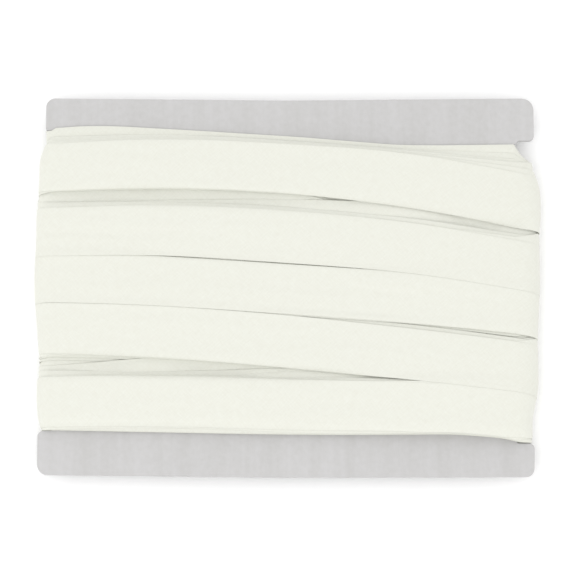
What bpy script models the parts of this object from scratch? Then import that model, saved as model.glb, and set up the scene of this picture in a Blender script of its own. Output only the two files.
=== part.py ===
# Roll of bias binding wound on a flat winding card, lying on its back with its shown face up.
# The card is one board. The binding is one solid of its wound form: the inner turns are a
# sleeve round the card's waist, and the last turns stand up from it as a spiral of broad bands.
import math

import bmesh
import bpy
import numpy as np

MM = 0.001

# Card
CARD_THICK = 1.8
CARD_MID_Z = 7.4
CORNER_STEPS = 6
# Corners run anticlockwise from the lower left, seen from above.
CARD_CORNERS = (
    # x, y, corner radius
    (-96.8, -74.5, 4.0),
    (0.0, -75.5, 0.0),
    (95.3, -75.3, 3.2),
    (95.5, -62.4, 2.0),
    (88.6, -62.4, 0.8),
    (88.6, 56.8, 0.5),
    (90.7, 58.8, 1.2),
    (96.8, 58.8, 2.0),
    (96.8, 76.0, 4.7),
    (0.0, 75.1, 0.0),
    (-95.1, 76.0, 3.5),
    (-95.1, 62.9, 0.8),
    (-91.1, 62.9, 0.8),
    (-91.1, -57.4, 0.8),
    (-96.8, -57.4, 2.3),
)
WAIST_LEFT = -91.1
WAIST_RIGHT = 88.6

# Wound form
SLOT_GAP = 0.3
SLOT_END_GAP = 0.45
SLEEVE_HEIGHT = 5.4
BAND_FOOT = 0.5
BAND_EDGE_CLEAR = 0.4
BAND_RISE = 1.1
BAND_SHINGLE = 0.25
BAND_ROUND = 0.4
BAND_INNER_SHARES = (0.3, 0.5, 0.7)
GROOVE = 0.4
MARGIN_CLEAR = 0.35
FULL_HEIGHT = SLEEVE_HEIGHT + BAND_RISE
CROWN_FLAT_HALF = 58.0
CROWN_RUN = 33.0
CROWN_DROP = 0.24

# How far the full winding stands out past the waist's ends, along the height of the card
SIDE_Y = (-60.0, -54.0, -40.0, -30.0, -20.0, 0.0, 20.0, 30.0, 40.0, 46.0, 51.0, 53.0, 55.0, 60.0)
SIDE_OUT_LEFT = (3.8, 5.3, 6.2, 5.6, 6.2, 7.7, 7.3, 7.2, 6.5, 6.4, 6.2, 5.7, 4.9, 3.4)
SIDE_OUT_RIGHT = (6.3, 6.3, 8.7, 8.8, 8.8, 9.9, 10.0, 10.6, 10.1, 8.4, 6.6, 3.9, 1.3, 1.0)

# Lines across the shown face, read at these five places from left to right
COLUMN_X = (-90.0, -45.0, 0.0, 45.0, 90.0)
SLEEVE_TOP = (63.3, 63.6, 60.2, 57.0, 56.2)
SLEEVE_BOTTOM = (-57.05, -58.2, -59.1, -59.6, -61.6)
# The upper edge dips by this much round the left end, where the card's arm lies close above it.
TOP_LEFT_DIP = 0.8
TOP_LEFT_DIP_QUICKNESS = 4.0
# Steps down from the full sleeve to its upper edge: share of the way to the edge, height left
TOP_STEPS = (
    (0.15, 4.1),
    (0.45, 2.8),
    (0.75, 1.5),
)
BOTTOM_STEP_HEIGHT = 3.2
# Under the two topmost bands, one more turn fills the sleeve up to this height.
UNDER_TURN_HEIGHT = 5.95

# The broad bands of the shown face, from the lowest, which was wound first
BANDS = (
    {
        "bottom": (-56.5, -56.5, -57.8, -59.2, -61.2),
        "top": (-36.8, -36.6, -38.1, -39.6, -41.6),
    },
    {
        "bottom": (-27.6, -30.0, -33.7, -38.3, -43.2),
        "top": (-7.6, -9.4, -13.0, -17.8, -23.2),
    },
    {
        "bottom": (-7.6, -9.5, -12.6, -15.8, -20.0),
        "top": (12.0, 11.0, 8.0, 4.0, 0.0),
    },
    {
        "bottom": (11.0, 10.7, 7.9, 4.0, -2.6),
        "top": (30.7, 31.3, 29.1, 24.5, 17.2),
    },
    {
        "bottom": (37.3, 38.1, 35.9, 30.7, 22.6),
        "top": (56.6, 57.9, 55.9, 52.3, 44.8),
    },
)
# Rise of the tape as it goes round each end of the card
LEFT_RISE = 0.5
RIGHT_RISE = 3.0
# Where the last turns come out of the winding and where the tape is cut off, both on the back
START_X = -30.0
START_BOTTOM = -58.2
START_WIDTH = 20.0
END_X = 38.0
END_BOTTOM = 38.6
END_TOP = 58.4

FACE_STEPS = 22
BACK_STEPS = 16
END_STEPS = 12

CLOTH_COLOUR = (0.885, 0.880, 0.800, 1.0)
CLOTH_ROUGHNESS = 0.85
CLOTH_SHARP_ANGLE = 35
CARD_COLOUR = (0.640, 0.610, 0.610, 1.0)
CARD_ROUGHNESS = 0.75
CARD_SHARP_ANGLE = 30


def clear_scene():
    for thing in list(bpy.data.objects):
        bpy.data.objects.remove(thing, do_unlink=True)


def make_material(name, colour, roughness):
    material = bpy.data.materials.new(name)
    material.use_nodes = True
    shader = material.node_tree.nodes["Principled BSDF"]
    shader.inputs["Base Color"].default_value = colour
    shader.inputs["Roughness"].default_value = roughness
    return material


def add_object(name, bm, material, sharp_angle):
    bmesh.ops.recalc_face_normals(bm, faces=bm.faces)
    mesh = bpy.data.meshes.new(name)
    bm.to_mesh(mesh)
    bm.free()
    mesh.materials.append(material)
    made = bpy.data.objects.new(name, mesh)
    bpy.context.collection.objects.link(made)
    mesh.shade_smooth()
    mesh.set_sharp_from_angle(angle=math.radians(sharp_angle))
    return made


def smooth_value(places, values, x):
    """A smooth curve through a short row of values, held level past its two ends."""
    x = min(max(x, places[0]), places[-1])
    k = min(int(np.searchsorted(places, x, side="right")) - 1, len(places) - 2)
    slopes = np.gradient(np.array(values), np.array(places))
    run = places[k + 1] - places[k]
    t = (x - places[k]) / run
    keep = (1 + 2 * t) * (1 - t) ** 2 * values[k] + t * t * (3 - 2 * t) * values[k + 1]
    lean = t * (1 - t) ** 2 * slopes[k] - t * t * (1 - t) * slopes[k + 1]
    return keep + run * lean


def rounded_outline(corners):
    """Points of a closed outline whose corners are rounded by their own radius."""
    points = []
    count = len(corners)
    for k, (x, y, radius) in enumerate(corners):
        here = np.array((x, y))
        if radius == 0:
            points.append(here)
            continue
        to_last = np.array(corners[k - 1][:2]) - here
        to_next = np.array(corners[(k + 1) % count][:2]) - here
        to_last /= np.linalg.norm(to_last)
        to_next /= np.linalg.norm(to_next)
        half_angle = math.acos(float(np.dot(to_last, to_next))) / 2
        reach = radius / math.tan(half_angle)
        inward = to_last + to_next
        centre = here + inward / np.linalg.norm(inward) * radius / math.sin(half_angle)
        first = here + to_last * reach - centre
        last = here + to_next * reach - centre
        start = math.atan2(first[1], first[0])
        turn = math.atan2(last[1], last[0]) - start
        turn = (turn + math.pi) % (2 * math.pi) - math.pi
        for step in range(CORNER_STEPS + 1):
            angle = start + turn * step / CORNER_STEPS
            points.append(centre + radius * np.array((math.cos(angle), math.sin(angle))))
    return points


def crown(x):
    """Share of the full winding height left at x: the winding thins towards the card's ends."""
    past = min(max(abs(x) - CROWN_FLAT_HALF, 0.0), CROWN_RUN) / CROWN_RUN
    return 1 - CROWN_DROP * past ** 2


def loop_stations():
    """One turn of the tape: across the face to the left, round, back to the right, round."""
    stations = []
    for k in range(FACE_STEPS):
        share = k / FACE_STEPS
        stations.append(("face", share, WAIST_RIGHT + (WAIST_LEFT - WAIST_RIGHT) * share))
    for k in range(END_STEPS):
        stations.append(("left", k / END_STEPS, WAIST_LEFT))
    for k in range(BACK_STEPS):
        share = k / BACK_STEPS
        stations.append(("back", share, WAIST_LEFT + (WAIST_RIGHT - WAIST_LEFT) * share))
    for k in range(END_STEPS):
        stations.append(("right", k / END_STEPS, WAIST_RIGHT))
    return stations


def height_share(height):
    return (height - SLOT_GAP) / (FULL_HEIGHT - SLOT_GAP)


def wrap(station, y, height, reach):
    """The point at a height above the card's surface, for one station of the turn.

    The reach is the share of the full winding's stand-out past the waist's end.
    """
    side, share, x = station
    lift = CARD_THICK / 2 + SLOT_GAP + (height - SLOT_GAP) * crown(x)
    if side == "face":
        return x, y, CARD_MID_Z + lift
    if side == "back":
        return x, y, CARD_MID_Z - lift
    table = SIDE_OUT_LEFT if side == "left" else SIDE_OUT_RIGHT
    out = SLOT_END_GAP + (smooth_value(SIDE_Y, table, y) - SLOT_END_GAP) * reach
    angle = math.pi * share
    if side == "left":
        return x - out * math.sin(angle), y, CARD_MID_Z + lift * math.cos(angle)
    return x + out * math.sin(angle), y, CARD_MID_Z - lift * math.cos(angle)


def sleeve_line(table, station):
    """Height on the card of one of the sleeve's edge lines, the same on face and back."""
    side, _, x = station
    if side == "left":
        return table[0]
    if side == "right":
        return table[-1]
    if side == "face":
        return smooth_value(COLUMN_X, table, x)
    return float(np.interp(x, (COLUMN_X[0], COLUMN_X[-1]), (table[0], table[-1])))


def band_middle(band, station):
    return (sleeve_line(band["bottom"], station) + sleeve_line(band["top"], station)) / 2


def upper_edge(station):
    """The sleeve's upper edge, with its dip round the left end."""
    side, share, _ = station
    dip = 0.0
    if side == "left":
        dip = TOP_LEFT_DIP * min(1.0, TOP_LEFT_DIP_QUICKNESS * math.sin(math.pi * share))
    return sleeve_line(SLEEVE_TOP, station) - dip


def sleeve_profile(station):
    """Outer profile of the sleeve from its lower to its upper edge: y, height and reach."""
    low = sleeve_line(SLEEVE_BOTTOM, station)
    high = upper_edge(station)
    under_low = band_middle(BANDS[-2], station)
    under_high = band_middle(BANDS[-1], station)
    band_top = sleeve_line(BANDS[-1]["top"], station)
    outline = (
        (low, SLOT_GAP),
        (low, BOTTOM_STEP_HEIGHT),
        (low + MARGIN_CLEAR, SLEEVE_HEIGHT),
        (under_low, SLEEVE_HEIGHT),
        (under_low + MARGIN_CLEAR, UNDER_TURN_HEIGHT),
        (under_high - MARGIN_CLEAR, UNDER_TURN_HEIGHT),
        (under_high, SLEEVE_HEIGHT),
    )
    profile = [(y, height, height_share(height)) for y, height in outline]
    last_height = SLEEVE_HEIGHT
    last_reach = height_share(SLEEVE_HEIGHT)
    for share, height in TOP_STEPS:
        y = band_top + (high - band_top) * share
        profile.append((y - BAND_ROUND / 2, last_height, last_reach))
        profile.append((y, height, 1.0))
        last_height = height
        last_reach = 1.0
    profile.append((high - BAND_ROUND / 2, last_height, last_reach))
    profile.append((high, SLOT_GAP, 0.0))
    return profile


def ring_vertices(bm, station, profile):
    return [bm.verts.new([value * MM for value in wrap(station, *spot)]) for spot in profile]


def join_rings(bm, ring, following):
    for j in range(len(ring)):
        after = (j + 1) % len(ring)
        bm.faces.new((ring[j], ring[after], following[after], following[j]))


def build_sleeve():
    bm = bmesh.new()
    rings = [ring_vertices(bm, station, sleeve_profile(station)) for station in loop_stations()]
    for k, ring in enumerate(rings):
        join_rings(bm, ring, rings[(k + 1) % len(rings)])
    return bm


def band_edge(number, edge, station):
    """One edge line of the turn that leaves band `number`. Number -1 is the turn before band 0."""
    side, share, x = station
    if side == "face":
        return smooth_value(COLUMN_X, BANDS[number][edge], x)
    if side == "left":
        return BANDS[number][edge][0] + LEFT_RISE * share
    if side == "right":
        return BANDS[number + 1][edge][-1] - RIGHT_RISE * (1 - share)
    if number < 0:
        begin = START_BOTTOM if edge == "bottom" else START_BOTTOM + START_WIDTH
        end = BANDS[0][edge][-1] - RIGHT_RISE
        return float(np.interp(x, (START_X, WAIST_RIGHT), (begin, end)))
    begin = BANDS[number][edge][0] + LEFT_RISE
    if number == len(BANDS) - 1:
        end = END_BOTTOM if edge == "bottom" else END_TOP
        return float(np.interp(x, (WAIST_LEFT, END_X), (begin, end)))
    return begin + (BANDS[number + 1][edge][-1] - RIGHT_RISE - begin) * share


def turn_exists(number, station):
    side, _, x = station
    last = len(BANDS) - 1
    if side == "back":
        return (number >= 0 or x >= START_X) and (number < last or number == last and x <= END_X)
    if side == "right":
        return number < last
    return 0 <= number <= last


def band_section(number, station):
    """Profile of the raised tape: y, height and reach, clear of the next turn's lower edge."""
    lowest = sleeve_line(SLEEVE_BOTTOM, station) + BAND_EDGE_CLEAR
    low = max(band_edge(number, "bottom", station), lowest)
    high = min(band_edge(number, "top", station), upper_edge(station) - BAND_EDGE_CLEAR)
    if turn_exists(number + 1, station):
        high = min(high, band_edge(number + 1, "bottom", station) - GROOVE)
    foot = SLEEVE_HEIGHT - BAND_FOOT
    lean = BAND_SHINGLE if station[0] == "face" else 0.0
    low_rise = FULL_HEIGHT + lean
    high_rise = FULL_HEIGHT - lean
    outline = [
        (low, foot),
        (low, low_rise - BAND_ROUND),
        (low + BAND_ROUND, low_rise),
    ]
    for share in BAND_INNER_SHARES:
        outline.append((low + (high - low) * share, low_rise + (high_rise - low_rise) * share))
    outline += [
        (high - BAND_ROUND, high_rise),
        (high, high_rise - BAND_ROUND),
        (high, foot),
    ]
    return [(y, height, height_share(height)) for y, height in outline]


def band_path():
    """Every station of the raised tape, from where it comes out of the winding to its cut end."""
    turn = loop_stations()
    split = FACE_STEPS + END_STEPS
    path = []
    for number in range(-1, len(BANDS)):
        stations = turn[split:] if number < 0 else turn
        path += [(number, station) for station in stations if turn_exists(number, station)]
    return path


def build_bands():
    bm = bmesh.new()
    rings = []
    for number, station in band_path():
        rings.append(ring_vertices(bm, station, band_section(number, station)))
    for ring, following in zip(rings, rings[1:]):
        join_rings(bm, ring, following)
    bm.faces.new(rings[0])
    bm.faces.new(rings[-1])
    return bm


def build_card(material):
    bm = bmesh.new()
    low = (CARD_MID_Z - CARD_THICK / 2) * MM
    outline = [bm.verts.new((x * MM, y * MM, low)) for x, y in rounded_outline(CARD_CORNERS)]
    sheet = bm.faces.new(outline)
    grown = bmesh.ops.extrude_face_region(bm, geom=[sheet])["geom"]
    raised = [item for item in grown if isinstance(item, bmesh.types.BMVert)]
    bmesh.ops.translate(bm, verts=raised, vec=(0, 0, CARD_THICK * MM))
    return add_object("card", bm, material, CARD_SHARP_ANGLE)


def build_binding(material):
    binding = add_object("binding", build_sleeve(), material, CLOTH_SHARP_ANGLE)
    bands = add_object("bands", build_bands(), material, CLOTH_SHARP_ANGLE)
    join = binding.modifiers.new("join", "BOOLEAN")
    join.operation = "UNION"
    join.solver = "EXACT"
    join.object = bands
    bpy.context.view_layer.update()
    graph = bpy.context.evaluated_depsgraph_get()
    joined = bpy.data.meshes.new_from_object(binding.evaluated_get(graph))
    binding.modifiers.clear()
    binding.data = joined
    bpy.data.objects.remove(bands, do_unlink=True)
    joined.shade_smooth()
    joined.set_sharp_from_angle(angle=math.radians(CLOTH_SHARP_ANGLE))
    return binding


def centre_on_origin(objects):
    """Moves the meshes so that the part is centred on the origin, with its lowest point at z = 0."""
    spots = np.array([vertex.co[:] for thing in objects for vertex in thing.data.vertices])
    low = spots.min(axis=0)
    high = spots.max(axis=0)
    shift = (-(low[0] + high[0]) / 2, -(low[1] + high[1]) / 2, -low[2])
    for thing in objects:
        for vertex in thing.data.vertices:
            vertex.co = [value + move for value, move in zip(vertex.co, shift)]
        thing.data.update()
    print("shift to centre, mm:", [round(value / MM, 3) for value in shift])


clear_scene()
cloth = make_material("ivory_cotton", CLOTH_COLOUR, CLOTH_ROUGHNESS)
board = make_material("grey_card", CARD_COLOUR, CARD_ROUGHNESS)
centre_on_origin([build_card(board), build_binding(cloth)])
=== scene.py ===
# Looks of the roll of bias binding: the real turns of folded tape, the card, floor, light and camera.
import math

import bmesh
import bpy
import numpy as np
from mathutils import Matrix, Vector


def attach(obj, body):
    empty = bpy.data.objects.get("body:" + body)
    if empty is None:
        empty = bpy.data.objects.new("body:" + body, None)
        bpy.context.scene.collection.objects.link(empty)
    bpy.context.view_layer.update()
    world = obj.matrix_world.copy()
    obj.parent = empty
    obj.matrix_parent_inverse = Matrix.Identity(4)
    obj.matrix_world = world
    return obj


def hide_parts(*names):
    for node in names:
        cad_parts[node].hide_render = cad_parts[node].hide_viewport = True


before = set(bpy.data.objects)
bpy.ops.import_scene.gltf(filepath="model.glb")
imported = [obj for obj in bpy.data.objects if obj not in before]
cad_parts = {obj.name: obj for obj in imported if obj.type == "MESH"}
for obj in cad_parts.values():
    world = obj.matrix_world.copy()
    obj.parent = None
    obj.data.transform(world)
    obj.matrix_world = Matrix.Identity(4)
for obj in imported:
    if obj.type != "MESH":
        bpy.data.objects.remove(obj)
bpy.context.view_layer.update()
mm = 0.001

# The wound form in mm: the part's own formula and shift, with finer lines for the tape's edges and ends
form = {
    "shiftX": -0.193, "shiftY": -0.233,
    "midZ": 7.4, "cardHalf": 0.9,
    "waistLeft": -91.1, "waistRight": 88.6,
    "slotGap": 0.3, "slotEndGap": 0.45, "full": 6.5,
    "crownFlat": 58.0, "crownRun": 33.0, "crownDrop": 0.24,
    "columns": (-90.0, -45.0, 0.0, 45.0, 90.0),
    "topX": (-90.0, -82.0, -70.0, -54.0, -35.0, -15.0, 5.0, 24.0, 44.0, 60.0, 76.0, 90.0),
    "top": (64.0, 64.6, 64.7, 63.9, 62.8, 61.5, 60.2, 58.6, 57.1, 56.9, 57.1, 57.3),
    "bottomX": (-90.0, -45.0, 0.0, 30.0, 50.0, 64.0, 76.0, 84.0, 90.0),
    "bottom": (-57.4, -58.3, -59.1, -59.2, -59.1, -59.1, -59.9, -60.8, -62.2),
    "topLeftDip": 1.2, "dipQuickness": 2.5,
    "sideY": (-60.0, -54.0, -40.0, -30.0, -20.0, 0.0, 20.0, 30.0, 40.0, 46.0, 50.5, 52.0, 53.0, 54.0, 55.2,
              57.0, 60.0, 62.5),
    "outLeft": (3.8, 5.3, 6.2, 5.6, 6.2, 7.7, 7.3, 7.2, 6.5, 6.4, 6.2, 6.0, 5.7, 5.3, 4.9, 4.3, 3.4, 4.2),
    "outRight": (6.3, 6.3, 8.7, 8.8, 8.8, 9.9, 10.0, 10.6, 10.1, 8.4, 7.0, 6.0, 3.6, 1.3, 0.9, 0.9, 0.9, 0.9),
    "clothGap": 0.06, "endPacking": 0.6, "endOver": 0.4,
}

# The broad bands of the last layer, from the lowest: lower and upper edge at the five columns
bands = (
    ((-56.5, -56.6, -57.9, -58.6, -60.9), (-36.8, -36.6, -38.1, -39.6, -41.6)),
    ((-27.6, -30.0, -33.7, -38.3, -43.2), (-7.6, -9.4, -13.0, -17.8, -23.2)),
    ((-7.6, -9.5, -12.6, -15.8, -20.0), (12.6, 10.6, 7.6, 4.4, 0.4)),
    ((11.0, 10.7, 7.9, 4.0, -2.6), (30.7, 31.3, 29.1, 24.5, 17.2)),
    ((37.3, 38.1, 35.9, 30.7, 22.6), (56.6, 57.9, 55.9, 52.3, 44.8)),
)

# Upper edges of the turns just under them at the same columns, oldest first
underTurns = (
    (60.2, 60.8, 58.2, 55.0, 53.4),
    (43.0, 42.5, 41.0, 31.0, 15.0),
    (40.5, 40.5, 38.0, 26.0, 15.0),
    (41.5, 41.0, 37.5, 25.0, 14.0),
    (32.6, 34.0, 34.2, 32.4, 28.0),
    (18.0, 17.0, 15.0, 13.0, 9.0),
    (0.0, -1.0, -4.0, -8.0, -13.0),
    (-31.7, -28.6, -26.0, -25.0, -27.0),
    (-37.5, -37.5, -38.5, -39.5, -41.5),
    (-34.0, -34.3, -33.4, -34.5, -38.0),
    (-6.0, -8.0, -12.0, -15.5, -22.0),
    (58.8, 59.4, 57.2, 54.0, 51.0),
    (57.8, 58.1, 56.4, 53.0, 49.4),
    (57.9, 58.3, 56.5, 51.6, 44.4),
    (11.5, 9.5, 6.5, 3.5, -1.0),
    (-8.5, -10.0, -13.0, -17.0, -22.0),
    (-36.0, -36.0, -36.5, -38.0, -41.0),
    (-38.0, -38.5, -40.0, -41.5, -43.0),
    (-7.0, -8.5, -12.0, -16.0, -21.5),
    (13.2, 11.4, 8.5, 5.2, 1.4),
    (33.3, 33.0, 31.1, 26.6, 20.2),
    (57.2, 58.0, 55.9, 52.4, 47.1),
    (29.5, 30.0, 28.0, 24.0, 18.8),
    (12.0, 10.0, 7.0, 4.0, 0.0),
    (-8.0, -9.8, -13.4, -18.2, -23.0),
    (-37.2, -37.0, -38.6, -40.2, -42.0),
)

# The tape and its path, in mm: the loose first turns, the lanes over them, and the way round the ends
winding = {
    "seed": 11, "width": 20.0, "thick": 0.6, "cloth": 0.25,
    "faceSteps": 60, "endSteps": 14, "backSteps": 44, "leftEndPath": 20.0, "rightEndPath": 24.0,
    "looseLayers": 3, "longTurns": 5, "shortTurns": 4, "stagger": 0.1,
    "looseHighLeft": 53.0, "looseHighRight": 46.0, "layerFallLeft": 0.5, "layerFallRight": 0.4,
    "looseLowLeft": -46.9, "looseLowRight": -50.6,
    "looseDrift": 2.2, "looseBow": 2.0, "looseSlope": 3.0,
    "laneLayers": 5, "laneDrift": 1.2, "topSpread": 2.0, "lowSpread": 3.0,
    "leftRise": 0.5, "rightRise": 3.0, "leftRiseShare": 0.05, "rightRiseShare": 0.15,
    "endX": 38.0, "endMiddle": 48.5, "edgeClear": 0.1,
}


# Smooth curve through a table
def smoothValue(places, values, x):
    values = np.asarray(values, float)
    places = np.asarray(places, float)
    x = np.clip(np.asarray(x, float), places[0], places[-1])
    k = np.clip(np.searchsorted(places, x, side="right") - 1, 0, len(places) - 2)
    lean = np.gradient(values, places)
    run = places[k + 1] - places[k]
    t = (x - places[k]) / run
    keep = (1 + 2 * t) * (1 - t) ** 2 * values[k] + t * t * (3 - 2 * t) * values[k + 1]
    return keep + run * (t * (1 - t) ** 2 * lean[k] - t * t * (1 - t) * lean[k + 1])


# Columns of one turn: across the face to the left, round the end, back to the right, round the end
def turnColumns():
    face = winding["faceSteps"]
    end = winding["endSteps"]
    back = winding["backSteps"]
    left = form["waistLeft"]
    right = form["waistRight"]
    side = np.array([0] * face + [1] * end + [2] * back + [3] * end)
    share = np.concatenate([np.arange(n) / n for n in (face, end, back, end)])
    x = np.choose(side, [right + (left - right) * share, np.full(len(side), left),
                         left + (right - left) * share, np.full(len(side), right)])
    length = np.choose(side, [(right - left) / face, winding["leftEndPath"] / end,
                              (right - left) / back, winding["rightEndPath"] / end])
    return {"side": side, "share": share, "x": x, "step": length, "count": len(side)}


columns = turnColumns()


# A turn's place on the card: at a round end the top of the pile reaches as far out as the solid does
def wrapPoint(side, share, x, y, height, pileHeight):
    past = np.clip(np.abs(x) - form["crownFlat"], 0, form["crownRun"]) / form["crownRun"]
    gap = form["slotGap"]
    lift = form["cardHalf"] + form["clothGap"] + (height - gap) * (1 - form["crownDrop"] * past ** 2)
    fullOut = np.where(side == 1, smoothValue(form["sideY"], form["outLeft"], y),
                       smoothValue(form["sideY"], form["outRight"], y))
    depth = np.maximum(pileHeight - height, -form["endOver"])
    endGap = form["slotEndGap"]
    out = endGap + (fullOut - endGap) * np.exp(-form["endPacking"] * depth / fullOut)
    angle = math.pi * share
    px = np.where(side == 1, x - out * np.sin(angle), np.where(side == 3, x + out * np.sin(angle), x))
    pz = np.choose(side, [lift, lift * np.cos(angle), -lift, -lift * np.cos(angle)]) + form["midZ"]
    return np.stack([(px + form["shiftX"]) * mm, (y + form["shiftY"]) * mm, pz * mm], axis=-1)


# A table of edge places as one value for each column: smooth on the face, straight on the back
def edgeLine(places, table):
    x = columns["x"]
    face = smoothValue(places, table, x)
    back = np.interp(x, (places[0], places[-1]), (table[0], table[-1]))
    side = columns["side"]
    return np.choose(side, [face, np.full(len(x), table[0]), back, np.full(len(x), table[-1])])


# Middle line and half width of every turn, column by column
def tapePath():
    rng = np.random.default_rng(winding["seed"])
    width = winding["width"]
    spots = np.array(form["columns"])
    reach = spots[-1]
    looseDrift = winding["looseDrift"]
    turns = []
    topInset, lowInset = {}, {}
    for layer in range(winding["looseLayers"]):
        down = layer % 2 == 0
        count = winding["longTurns"] if down else winding["shortTurns"]
        highLeft = winding["looseHighLeft"] - winding["layerFallLeft"] * layer
        highRight = winding["looseHighRight"] - winding["layerFallRight"] * layer
        lowLeft, lowRight = winding["looseLowLeft"], winding["looseLowRight"]
        inset = winding["stagger"] * layer
        for place in range(count):
            share = (count - 1 - place) / (count - 1) if down else (place + 0.5) / count
            driftLeft, driftRight, bow = rng.uniform((-looseDrift, -looseDrift, 0.0),
                                                     (looseDrift, looseDrift, winding["looseBow"]))
            slope = -winding["looseSlope"] if down else winding["looseSlope"]
            left = lowLeft + (highLeft - lowLeft) * share + driftLeft + slope
            right = lowRight + (highRight - lowRight) * share + driftRight - slope
            middle = left + (right - left) * (spots + reach) / (2 * reach) + bow * (1 - (spots / reach) ** 2)
            lower, upper = middle - width / 2, middle + width / 2
            if share == 1.0:
                upper = smoothValue(form["topX"], form["top"], spots) - inset
                lower = upper - width
                topInset[len(turns)] = inset
            if share == 0.0:
                lower = smoothValue(form["bottomX"], form["bottom"], spots) + inset
                upper = lower + width
                lowInset[len(turns)] = inset
            turns.append((lower, upper))
    for layer in range(winding["laneLayers"]):
        down = layer % 2 == 0
        for lane in range(len(bands))[::-1 if down else 1]:
            drift, lean = rng.uniform(-winding["laneDrift"], winding["laneDrift"], 2)
            middle = (np.array(bands[lane][0]) + np.array(bands[lane][1])) / 2
            middle = middle + drift + lean * spots / reach
            if lane == len(bands) - 1:
                middle = middle + winding["topSpread"] * (1 - layer / winding["laneLayers"])
            if lane == 0:
                middle = middle + winding["lowSpread"] * layer / winding["laneLayers"]
            turns.append((middle - width / 2, middle + width / 2))
    coreCount = len(turns)
    turns += [(np.array(upper) - width, np.array(upper)) for upper in underTurns]
    bandCount = len(turns)
    turns += [(np.array(lower), np.array(upper)) for lower, upper in bands]
    side = columns["side"]
    share = columns["share"]
    x = columns["x"]
    low = edgeLine(form["bottomX"], form["bottom"])
    dip = form["topLeftDip"] * np.minimum(1, form["dipQuickness"] * np.sin(math.pi * share))
    high = edgeLine(form["topX"], form["top"]) - np.where(side == 1, dip, 0)
    clear = winding["edgeClear"]
    middles = []
    halves = []
    for k, (lower, upper) in enumerate(turns):
        last = k == len(turns) - 1
        isBand = k >= bandCount
        middleTable = (lower + upper) / 2
        halfTable = (upper - lower) / 2
        goal = winding["endMiddle"] if last else (turns[k + 1][0][-1] + turns[k + 1][1][-1]) / 2
        goalHalf = width / 2 if last else (turns[k + 1][1][-1] - turns[k + 1][0][-1]) / 2
        left, leftHalf = middleTable[0], halfTable[0]
        leftRise = winding["leftRise"] if isBand else winding["leftRiseShare"] * (goal - left)
        rightRise = winding["rightRiseShare"] * (goal - left)
        if isBand and not last:
            rightRise = winding["rightRise"]
        backShare = share
        if last:
            backShare = np.clip((x - form["waistLeft"]) / (winding["endX"] - form["waistLeft"]), 0, 1)
            rightRise = 0.0
        start = left + leftRise
        back = start + (goal - rightRise - start) * backShare
        middle = np.choose(side, [smoothValue(spots, middleTable, x), left + leftRise * share, back,
                                  goal - rightRise * (1 - share)])
        half = np.choose(side, [smoothValue(spots, halfTable, x), np.full(len(x), leftHalf),
                                leftHalf + (goalHalf - leftHalf) * share, np.full(len(x), goalHalf)])
        if k in topInset:
            middle = np.where(side == 0, high - half - topInset[k], middle)
        if k in lowInset:
            middle = np.where(side == 0, low + half + lowInset[k], middle)
        middle = np.clip(middle, low + half + clear, high - half - clear)
        middles.append(middle)
        halves.append(half)
    middles = np.concatenate(middles)
    halves = np.concatenate(halves)
    count = columns["count"]
    lastBack = (len(turns) - 1) * count + winding["faceSteps"] + winding["endSteps"]
    keepBack = int((winding["endX"] - form["waistLeft"]) / (form["waistRight"] - form["waistLeft"])
                   * winding["backSteps"]) + 1
    stop = lastBack + keepBack
    hidden = winding["faceSteps"] // 2
    underStart = coreCount * count + hidden
    bandStart = (coreCount + len(underTurns) - 1) * count + hidden
    return middles[:stop], halves[:stop], underStart, bandStart


middles, halves, underStart, bandStart = tapePath()
print("tape path: steps", len(middles))


# How the tape lies, in mm: the height map, the sag over gaps, the smoothing along the tape, the lift of
# its fold edges, and the heights that it is pressed down to
laying = {
    "cell": 0.5, "lowY": -66.0, "highY": 68.0, "halfPoints": 20, "reachAcross": 12,
    "window": 4, "sagAlong": 0.009, "sagAcross": 0.02, "underSag": 0.15, "edgeDroop": 3.0,
    "smoothReach": 4, "smoothWidth": 1.5, "levelInset": 5, "levelOver": 0.1,
    "edgeLift": 0.12, "upperLift": 0.02, "edgeRun": 1.3, "frontCap": 7.1, "pressKnee": 5.6,
}


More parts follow.
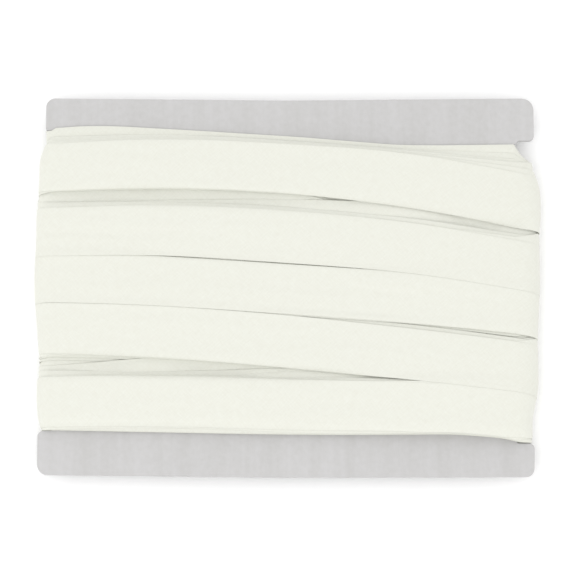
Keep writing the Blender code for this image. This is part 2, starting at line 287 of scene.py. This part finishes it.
# Lays the tape step by step: it rests on what is already there, and bridges steps as stiff cloth does
def layTape():
    cell = laying["cell"]
    cellY = np.arange(laying["lowY"], laying["highY"], cell)
    count = columns["count"]
    pile = np.full((count, len(cellY)), form["slotGap"])
    across = np.linspace(-1, 1, 2 * laying["halfPoints"] + 1)
    window = laying["window"]
    offsets = np.arange(-window, window + 1)
    place = np.cumsum(columns["step"])
    loop = place[-1]
    waiting = []
    bottoms = np.zeros((len(middles), len(across)))

    def layDown(column, tapeY, held):
        inside = (cellY >= tapeY[0] - cell / 2) & (cellY <= tapeY[-1] + cell / 2)
        pile[column, inside] = np.interp(cellY[inside], tapeY, held) + winding["thick"]

    for k in range(len(middles)):
        here = k % count
        near = (here + offsets) % count
        gap = np.abs(place[near] - place[here])
        gap = np.minimum(gap, loop - gap)
        support = (pile[near] - laying["sagAlong"] * gap[:, None] ** 2).max(axis=0)
        y = middles[k] + across * halves[k]
        under = np.interp(y, cellY, support)
        held, fromLow, fromHigh = under.copy(), under.copy(), under.copy()
        for shift in range(1, laying["reachAcross"] + 1):
            run = (shift * halves[k] / laying["halfPoints"]) ** 2
            drop = laying["sagAcross" if k >= bandStart else "underSag"] * run
            fromLow[shift:] = np.maximum(fromLow[shift:], under[:-shift] - drop)
            fromHigh[:-shift] = np.maximum(fromHigh[:-shift], under[shift:] - drop)
            drop = laying["edgeDroop"] * run
            held[shift:] = np.maximum(held[shift:], under[:-shift] - drop)
            held[:-shift] = np.maximum(held[:-shift], under[shift:] - drop)
        held = np.maximum(held, np.minimum(fromLow, fromHigh))
        bottoms[k] = held
        waiting.append((here, y, held))
        if len(waiting) > window:
            layDown(*waiting.pop(0))
    for late in waiting:
        layDown(*late)
    return across, bottoms, cellY, pile


across, bottoms, cellY, pile = layTape()
smoothReach = laying["smoothReach"]
kernel = np.exp(-0.5 * (np.arange(-smoothReach, smoothReach + 1) / laying["smoothWidth"]) ** 2)
kernel /= kernel.sum()
padded = np.pad(bottoms, ((smoothReach, smoothReach), (0, 0)), mode="edge")
bottoms = sum(kernel[j] * padded[j:j + len(bottoms)] for j in range(len(kernel)))
stepColumn = np.arange(len(middles)) % columns["count"]
onFace = (columns["side"][stepColumn] == 0) & (np.arange(len(middles)) >= bandStart)
levelInset = laying["levelInset"]
levelTop = bottoms[onFace][:, levelInset:-levelInset].mean() + winding["thick"]
squash = (form["full"] + laying["levelOver"] - form["slotGap"]) / (levelTop - form["slotGap"])
alongAll = np.concatenate([[0], np.cumsum(columns["step"][stepColumn])])[:-1]
print("laid tape: mean height of the last layer", round(float(levelTop), 2), "scale", round(float(squash), 3))


# Turns a height in the pile into a height on the card: high places are pressed down by the turns
# over them, and most on the back, where the roll lies on the table
def settle(height, side, share):
    height = form["slotGap"] + (height - form["slotGap"]) * squash
    knee = laying["pressKnee"]
    front, back = laying["frontCap"], form["full"]
    blend = 0.5 - 0.5 * np.cos(math.pi * share)
    cap = np.choose(side, [front + 0 * share, front + (back - front) * blend,
                           back + 0 * share, back + (front - back) * blend])
    room = cap - knee
    over = np.maximum(height - knee, 0)
    return np.where(height > knee, knee + room * (1 - np.exp(-over / room)), height)


# Settled height of the whole pile, column by column, reaching a little past every tape edge
settledPile = settle(pile, columns["side"][:, None], columns["share"][:, None])
settledPile = np.maximum(settledPile, np.maximum(np.roll(settledPile, 1, axis=1),
                                                 np.roll(settledPile, -1, axis=1)))


# Points of the tape from step first to last, for a profile of (across, height, cloth position) rows
def tapeRings(first, last, profileOf):
    steps = np.arange(first, last)
    column = steps % columns["count"]
    side = columns["side"][column]
    share = columns["share"][column]
    x = columns["x"][column]
    half = halves[steps]
    acrossMm, rise, clothAcross = profileOf(half)
    y = middles[steps][:, None] + acrossMm
    level = np.empty_like(acrossMm)
    pileHeight = np.empty_like(acrossMm)
    for k, step in enumerate(steps):
        level[k] = np.interp(acrossMm[k] / half[k], across, bottoms[step])
        pileHeight[k] = np.interp(y[k], cellY, settledPile[column[k]])
    near = (half[:, None] - np.abs(acrossMm)) / laying["edgeRun"]
    facing = np.choose(side, [1 + 0 * share, 0.5 + 0.5 * np.cos(math.pi * share),
                              0 * share, 0.5 - 0.5 * np.cos(math.pi * share)])
    most = np.where(acrossMm < 0, laying["edgeLift"], laying["upperLift"])
    lift = most * facing[:, None] * np.exp(-np.maximum(near, 0) ** 2)
    height = settle(level + rise, side[:, None], share[:, None]) + lift
    points = wrapPoint(side[:, None], share[:, None], x[:, None], y, height, pileHeight)
    along = np.broadcast_to(alongAll[steps][:, None], y.shape)
    cloth = np.stack([along * mm, clothAcross * mm, np.zeros_like(y)], axis=-1)
    return points, cloth


# The tape's cross sections, in mm and points. core and under: top points, fold steps, bottom points
profiles = {
    "core": (7, 2, 3), "under": (13, 4, 4), "plainShare": 0.97,
    "foldedShare": 0.98, "flapGap": 0.6, "flapPoints": 5, "turnPoints": 6, "topPoints": 19,
    "joinReach": 1e-7, "sharpAngle": 60,
}


# Closed profile with round fold edges, for turns of which only the edges show
def plainProfile(topPoints, foldSteps, bottomPoints):
    thick = winding["thick"] * profiles["plainShare"]
    radius = thick / 2

    def build(half):
        rows = []
        top = np.linspace(-1, 1, topPoints)
        fold = np.linspace(math.pi / 2, -math.pi / 2, foldSteps + 1)[1:-1]
        bottom = np.linspace(1, -1, bottomPoints)
        for h in half:
            flat = h - radius
            v = np.concatenate([top * flat, flat + radius * np.cos(fold), bottom * flat,
                                -flat - radius * np.cos(fold)])
            r = np.concatenate([np.full(topPoints, thick), radius + radius * np.sin(fold),
                                np.zeros(bottomPoints), radius - radius * np.sin(fold)])
            rows.append((np.append(v, v[0]), np.append(r, r[0])))
        v = np.array([row[0] for row in rows])
        r = np.array([row[1] for row in rows])
        return v, r, v
    return build


# The real fold of single-fold bias tape: both raw edges turned under and nearly meeting in the middle
def foldedProfile(half):
    thick = winding["thick"] * profiles["foldedShare"]
    cloth = winding["cloth"]
    foldRadius = (thick - cloth) / 2
    flapPoints, topPoints = profiles["flapPoints"] - 1, profiles["topPoints"] - 2
    turn = np.linspace(-math.pi / 2, -3 * math.pi / 2, profiles["turnPoints"])
    rows = []
    for h in half:
        flat = h - thick / 2
        flap = np.linspace(-profiles["flapGap"], -flat, flapPoints + 1)[:-1]
        topV = np.linspace(-1, 1, topPoints + 2)[1:-1] * flat
        midV = np.concatenate([flap, -flat + foldRadius * np.cos(turn), topV,
                               flat - foldRadius * np.cos(turn[::-1]), -flap[::-1]])
        midR = np.concatenate([np.full(flapPoints, cloth / 2), thick / 2 + foldRadius * np.sin(turn),
                               np.full(topPoints, thick - cloth / 2),
                               thick / 2 + foldRadius * np.sin(turn[::-1]), np.full(flapPoints, cloth / 2)])
        lean = np.stack([np.gradient(midV), np.gradient(midR)])
        lean /= np.linalg.norm(lean, axis=0)
        outV, outR = midV - lean[1] * cloth / 2, midR + lean[0] * cloth / 2
        inV, inR = midV + lean[1] * cloth / 2, midR - lean[0] * cloth / 2
        length = np.concatenate([[0], np.cumsum(np.hypot(np.diff(midV), np.diff(midR)))])
        length -= length.mean()
        v = np.concatenate([outV, inV[::-1], outV[:1]])
        r = np.concatenate([outR, inR[::-1], outR[:1]])
        c = np.concatenate([length, length[::-1], length[:1]])
        rows.append((v, r, c))
    return tuple(np.array([row[k] for row in rows]) for k in range(3))


# One grid bent into the tape's closed form, its seam joined and its two cut ends filled
def tapePiece(name, first, last, profileOf, material):
    points, cloth = tapeRings(first, last, profileOf)
    rows, cols = points.shape[:2]
    bm = bmesh.new()
    bmesh.ops.create_grid(bm, x_segments=cols - 1, y_segments=rows - 1, size=1.0)
    bm.verts.ensure_lookup_table()
    spots = np.array([v.co[:2] for v in bm.verts])
    order = np.lexsort((spots[:, 0].round(6), spots[:, 1].round(6)))
    where = np.empty((len(spots), 3))
    where[order] = points.reshape(-1, 3)
    laid = np.empty((len(spots), 3))
    laid[order] = cloth.reshape(-1, 3)
    layer = bm.verts.layers.float_vector.new("cloth")
    for vert, spot, value in zip(bm.verts, where, laid):
        vert.co = spot
        vert[layer] = value
    bmesh.ops.remove_doubles(bm, verts=bm.verts, dist=profiles["joinReach"])
    rim = [edge for edge in bm.edges if edge.is_boundary]
    bmesh.ops.holes_fill(bm, edges=rim, sides=0)
    bmesh.ops.recalc_face_normals(bm, faces=bm.faces)
    mesh = bpy.data.meshes.new(name)
    bm.to_mesh(mesh)
    bm.free()
    mesh.materials.append(material)
    mesh.shade_smooth()
    mesh.set_sharp_from_angle(angle=math.radians(profiles["sharpAngle"]))
    piece = bpy.data.objects.new(name, mesh)
    bpy.context.collection.objects.link(piece)
    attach(piece, "root")
    print("made", name, "faces", len(mesh.polygons))
    return piece


# sRGB hex to linear
def linearColour(code):
    parts = [int(code[k:k + 2], 16) / 255 for k in (1, 3, 5)]
    return tuple(c / 12.92 if c <= 0.04045 else ((c + 0.055) / 1.055) ** 2.4 for c in parts) + (1.0,)


# Adds a node with its settings and links
def addNode(tree, kind, settings=None, links=None):
    node = tree.nodes.new(kind)
    for key, value in (settings or {}).items():
        if isinstance(key, str) and hasattr(node, key):
            setattr(node, key, value)
        else:
            node.inputs[key].default_value = value
    for key, source in (links or {}).items():
        tree.links.new(source, node.inputs[key])
    return node


# A new material with its node tree and its shader
def startMaterial(name):
    material = bpy.data.materials.new(name)
    material.use_nodes = True
    tree = material.node_tree
    return material, tree, tree.nodes["Principled BSDF"]


clothLook = {
    "light": "#ddded5", "dark": "#d8d8ce",
    "threadPitch": 0.36, "slubLength": 4.0, "slubWidth": 0.55,
    "slubDetail": 2.0, "slubRoughness": 0.6, "slubLow": 0.7, "slubHigh": 1.3,
    "weaveDepth": 0.012, "weaveWander": 0.6, "weaveDetail": 1.0, "weaveStrength": 0.35,
    "roughness": 0.85, "sheen": 0.25, "sheenRoughness": 0.5, "specular": 0.2,
}
# The Wave node draws a whole band in 2 pi / 20 at scale 1
waveFactor = 20


# Ivory cotton cut on the bias: threads 0.36 mm apart, about 70 to the inch, run at 45 degrees to the
# tape. That gives the eye a faint slanting grain with slubs, and a soft matt sheen.
def cottonMaterial():
    material, tree, shader = startMaterial("ivory_bias_cotton")
    place = addNode(tree, "ShaderNodeAttribute", {"attribute_name": "cloth"})
    turned = addNode(tree, "ShaderNodeMapping", {"Rotation": (0, 0, math.radians(45))},
                     {"Vector": place.outputs["Vector"]})
    slubs = []
    for stretch in ((clothLook["slubLength"], clothLook["slubWidth"]),
                    (clothLook["slubWidth"], clothLook["slubLength"])):
        scaled = addNode(tree, "ShaderNodeMapping",
                         {"Scale": (1 / (stretch[0] * mm), 1 / (stretch[1] * mm), 1)},
                         {"Vector": turned.outputs["Vector"]})
        noise = addNode(tree, "ShaderNodeTexNoise",
                        {"Scale": 1.0, "Detail": clothLook["slubDetail"],
                         "Roughness": clothLook["slubRoughness"]},
                        {"Vector": scaled.outputs["Vector"]})
        slubs.append(noise.outputs["Fac"])
    both = addNode(tree, "ShaderNodeMath", {"operation": "ADD"}, {0: slubs[0], 1: slubs[1]})
    colour = addNode(tree, "ShaderNodeMapRange",
                     {"From Min": clothLook["slubLow"], "From Max": clothLook["slubHigh"]},
                     {"Value": both.outputs[0]})
    mix = addNode(tree, "ShaderNodeMix",
                  {"data_type": "RGBA", 6: linearColour(clothLook["dark"]),
                   7: linearColour(clothLook["light"])},
                  {0: colour.outputs[0]})
    tree.links.new(mix.outputs[2], shader.inputs["Base Color"])
    waves = []
    for direction in ("X", "Y"):
        wave = addNode(tree, "ShaderNodeTexWave",
                       {"bands_direction": direction,
                        "Scale": 2 * math.pi / (clothLook["threadPitch"] * mm) / waveFactor,
                        "Distortion": clothLook["weaveWander"], "Detail": clothLook["weaveDetail"]},
                       {"Vector": turned.outputs["Vector"]})
        waves.append(wave.outputs["Fac"])
    weave = addNode(tree, "ShaderNodeMath", {"operation": "MAXIMUM"}, {0: waves[0], 1: waves[1]})
    relief = addNode(tree, "ShaderNodeMath", {"operation": "ADD"}, {0: weave.outputs[0], 1: both.outputs[0]})
    bump = addNode(tree, "ShaderNodeBump",
                   {"Strength": clothLook["weaveStrength"], "Distance": clothLook["weaveDepth"] * mm},
                   {"Height": relief.outputs[0]})
    tree.links.new(bump.outputs["Normal"], shader.inputs["Normal"])
    shader.inputs["Roughness"].default_value = clothLook["roughness"]
    shader.inputs["Sheen Weight"].default_value = clothLook["sheen"]
    shader.inputs["Sheen Roughness"].default_value = clothLook["sheenRoughness"]
    shader.inputs["Specular IOR Level"].default_value = clothLook["specular"]
    return material


cardLook = {
    "light": "#c2c1c1", "dark": "#bbbab9",
    "fibre": 2.2, "fibreDetail": 4.0, "fibreRoughness": 0.65,
    "streak": 5.0, "streakLengthScale": 6.0, "streakDetail": 3.0, "streakRoughness": 0.55,
    "mottleLow": 0.75, "mottleHigh": 1.25, "fibreStrength": 0.2, "fibreDepth": 0.03,
    "roughness": 0.7, "specular": 0.25, "bevel": 0.12, "bevelSegments": 2, "bevelAngle": 50,
}


# Pale warm grey pressed board: its fibres give the eye a soft mottling, with faint streaks along its
# shorter side, and a matt face
def boardMaterial():
    material, tree, shader = startMaterial("grey_winding_board")
    place = addNode(tree, "ShaderNodeTexCoord")
    fibre = addNode(tree, "ShaderNodeTexNoise",
                    {"Scale": 1 / (cardLook["fibre"] * mm), "Detail": cardLook["fibreDetail"],
                     "Roughness": cardLook["fibreRoughness"]},
                    {"Vector": place.outputs["Object"]})
    drawn = addNode(tree, "ShaderNodeMapping",
                    {"Scale": (1 / (cardLook["streak"] * mm), cardLook["streakLengthScale"], 1.0)},
                    {"Vector": place.outputs["Object"]})
    streak = addNode(tree, "ShaderNodeTexNoise",
                     {"Scale": 1.0, "Detail": cardLook["streakDetail"],
                      "Roughness": cardLook["streakRoughness"]},
                     {"Vector": drawn.outputs["Vector"]})
    both = addNode(tree, "ShaderNodeMath", {"operation": "ADD"},
                   {0: fibre.outputs["Fac"], 1: streak.outputs["Fac"]})
    level = addNode(tree, "ShaderNodeMapRange",
                    {"From Min": cardLook["mottleLow"], "From Max": cardLook["mottleHigh"]},
                    {"Value": both.outputs[0]})
    mix = addNode(tree, "ShaderNodeMix",
                  {"data_type": "RGBA", 6: linearColour(cardLook["dark"]),
                   7: linearColour(cardLook["light"])},
                  {0: level.outputs[0]})
    tree.links.new(mix.outputs[2], shader.inputs["Base Color"])
    bump = addNode(tree, "ShaderNodeBump",
                   {"Strength": cardLook["fibreStrength"], "Distance": cardLook["fibreDepth"] * mm},
                   {"Height": fibre.outputs["Fac"]})
    tree.links.new(bump.outputs["Normal"], shader.inputs["Normal"])
    shader.inputs["Roughness"].default_value = cardLook["roughness"]
    shader.inputs["Specular IOR Level"].default_value = cardLook["specular"]
    return material


cotton = cottonMaterial()
pieces = [
    tapePiece("binding_core", 0, underStart + 1, plainProfile(*profiles["core"]), cotton),
    tapePiece("binding_under", underStart, bandStart + 1, plainProfile(*profiles["under"]), cotton),
    tapePiece("binding_bands", bandStart, len(middles), foldedProfile, cotton),
]
for piece in pieces:
    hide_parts("binding")

# The card keeps its solid's form, with the slightly soft edges of die-cut board
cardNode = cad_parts["card"]
card = bpy.data.objects.new("winding_card", cardNode.data.copy())
bpy.context.collection.objects.link(card)
card.data.materials.clear()
card.data.materials.append(boardMaterial())
soften = card.modifiers.new("soften", "BEVEL")
soften.width = cardLook["bevel"] * mm
soften.segments = cardLook["bevelSegments"]
soften.limit_method = "ANGLE"
soften.angle_limit = math.radians(cardLook["bevelAngle"])
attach(card, "root")
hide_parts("card")
print("made winding_card")

# Plain pale floor, a hair under the part, so the two faces never fight
floorLook = {"size": 3.0, "drop": 0.0002, "colour": "#fefefe", "roughness": 0.9, "specular": 0.1}
floorMesh = bpy.data.meshes.new("floor")
bm = bmesh.new()
bmesh.ops.create_grid(bm, x_segments=1, y_segments=1, size=floorLook["size"])
bmesh.ops.translate(bm, verts=bm.verts, vec=(0, 0, -floorLook["drop"]))
bm.to_mesh(floorMesh)
bm.free()
floor = bpy.data.objects.new("floor", floorMesh)
bpy.context.collection.objects.link(floor)
floorMaterial, _, floorShader = startMaterial("pale_studio_floor")
floorShader.inputs["Base Color"].default_value = linearColour(floorLook["colour"])
floorShader.inputs["Roughness"].default_value = floorLook["roughness"]
floorShader.inputs["Specular IOR Level"].default_value = floorLook["specular"]
floorMesh.materials.append(floorMaterial)
print("made floor")

# An even dome, with one broad soft light from the front left
light = {"world": 1.1, "mainPower": 5.2, "mainSize": 1.4, "mainPlace": (-0.4, -0.7, 1.35)}
world = bpy.data.worlds.new("studio")
world.use_nodes = True
backdrop = world.node_tree.nodes["Background"]
backdrop.inputs["Color"].default_value = (1.0, 1.0, 1.0, 1.0)
backdrop.inputs["Strength"].default_value = light["world"]
bpy.context.scene.world = world


def areaLight(name, place, size, power):
    data = bpy.data.lights.new(name, "AREA")
    data.shape = "DISK"
    data.size = size
    data.energy = power
    lamp = bpy.data.objects.new(name, data)
    lamp.location = place
    lamp.rotation_euler = (-Vector(place)).to_track_quat("-Z", "Y").to_euler()
    bpy.context.collection.objects.link(lamp)


areaLight("main_light", light["mainPlace"], light["mainSize"], light["mainPower"])
print("set light")

view = {
    "elevation": 77.0, "distance": 1.6, "target": (-0.00006, -0.00243, 0.0148),
    "lens": 257.5, "sensor": 36.0, "near": 0.05,
}
cameraData = bpy.data.cameras.new("camera")
cameraData.lens = view["lens"]
cameraData.sensor_width = view["sensor"]
cameraData.clip_start = view["near"]
camera = bpy.data.objects.new("camera", cameraData)
tilt = math.radians(view["elevation"])
outward = Vector((0, -math.cos(tilt), math.sin(tilt)))
camera.location = Vector(view["target"]) + outward * view["distance"]
camera.rotation_euler = (math.radians(90) - tilt, 0, 0)
bpy.context.collection.objects.link(camera)
bpy.context.scene.camera = camera
bpy.context.scene.view_settings.view_transform = "Standard"
print("set camera")
